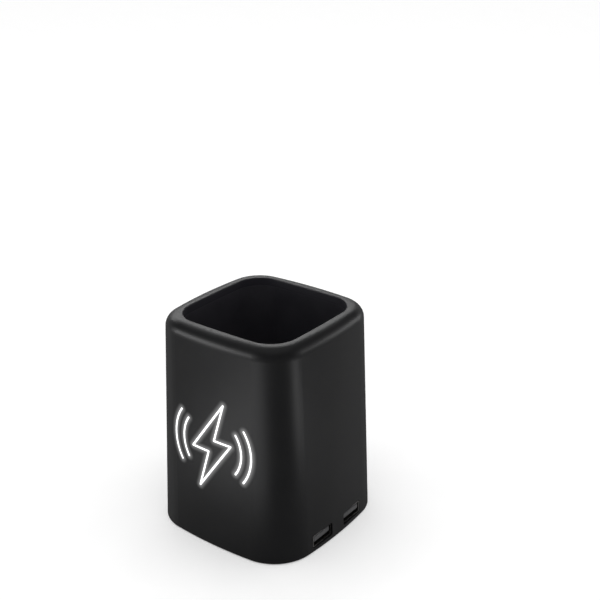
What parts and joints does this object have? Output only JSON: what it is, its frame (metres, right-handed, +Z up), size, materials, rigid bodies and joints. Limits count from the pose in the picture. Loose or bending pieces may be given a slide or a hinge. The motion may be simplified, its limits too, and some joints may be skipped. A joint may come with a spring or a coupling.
{
  "type": "wireless charger pen holder",
  "caption": "Square tapered pen cup with a back-lit bolt mark, USB outlets low on one side, a charging coil behind its back wall and a fold-out phone rest.",
  "frame": {"origin": "centre of the footprint, on the table under the feet", "axes": "+Z up, lit mark faces -Y, the outlets face +X, the phone rests on +Y"},
  "size_m": [0.08, 0.08, 0.1],
  "materials": {
    "soft_touch_coat": "soft-touch rubberised lacquer, fine grain",
    "lit_core": "translucent white ABS laid bare by a laser, lit from behind",
    "cup_abs": "moulded ABS, fine spark texture",
    "black_abs": "moulded ABS, satin",
    "silicone": "moulded silicone, matte",
    "plated_steel": "zinc plated",
    "outlet_steel": "stamped, nickel plated",
    "outlet_plastic": "moulded, matte",
    "gold_contact": "flash gold",
    "board_mask": "green solder mask",
    "chip_epoxy": "moulded epoxy",
    "ferrite": "sintered, matte",
    "capacitor_ceramic": "fired",
    "capacitor_can": "drawn can",
    "natural_nylon": "moulded, uncoloured",
    "clear_acrylic": "clear acrylic with polished edges",
    "white_film": "matte white film",
    "led_phosphor": "phosphor dome",
    "lead_insulation": "soft insulation",
    "copper_wire": "enamelled copper strand"
  },
  "bodies": {
    "housing": {"ballast_plate": "plated_steel", "base_plate": "black_abs", "base_screws": "plated_steel", "charger_chip": "chip_epoxy", "charging_coil": "copper_wire", "coil_carrier": "natural_nylon", "coil_connector": "natural_nylon", "coil_leads": "lead_insulation", "coil_screws": "plated_steel", "ferrite_sheet": "ferrite", "filter_capacitors": "capacitor_can", "inner_cup": "cup_abs", "input_socket_shell": "outlet_steel", "input_socket_tongue": "black_abs", "led_board": "board_mask", "led_wires": "lead_insulation", "leds": "led_phosphor", "light_connector": "natural_nylon", "light_frame": "natural_nylon", "light_guide": "clear_acrylic", "light_reflector": "white_film", "light_screws": "plated_steel", "lit_mark": "lit_core", "main_pcb": "board_mask", "outer_shell": "soft_touch_coat", "pcb_screws": "plated_steel", "power_chip": "chip_epoxy", "power_inductor": "ferrite", "resonance_capacitors": "capacitor_ceramic", "rest_pin": "plated_steel", "rest_tray": "black_abs", "rubber_feet": "silicone", "tray_screws": "plated_steel", "usb_port_front_contacts": "gold_contact", "usb_port_front_shell": "outlet_steel", "usb_port_front_tongue": "outlet_plastic", "usb_port_rear_contacts": "gold_contact", "usb_port_rear_shell": "outlet_steel", "usb_port_rear_tongue": "outlet_plastic"},
    "rest": {"phone_rest": "soft_touch_coat", "rest_pad": "silicone"}
  },
  "joints": [
    {"name": "rest_hinge", "type": "hinge", "parent": "housing", "child": "rest", "pos_m": [0, 0.03677, 0.0064], "axis": [-1, 0, 0], "range_deg": [0, 90]}
  ]
}
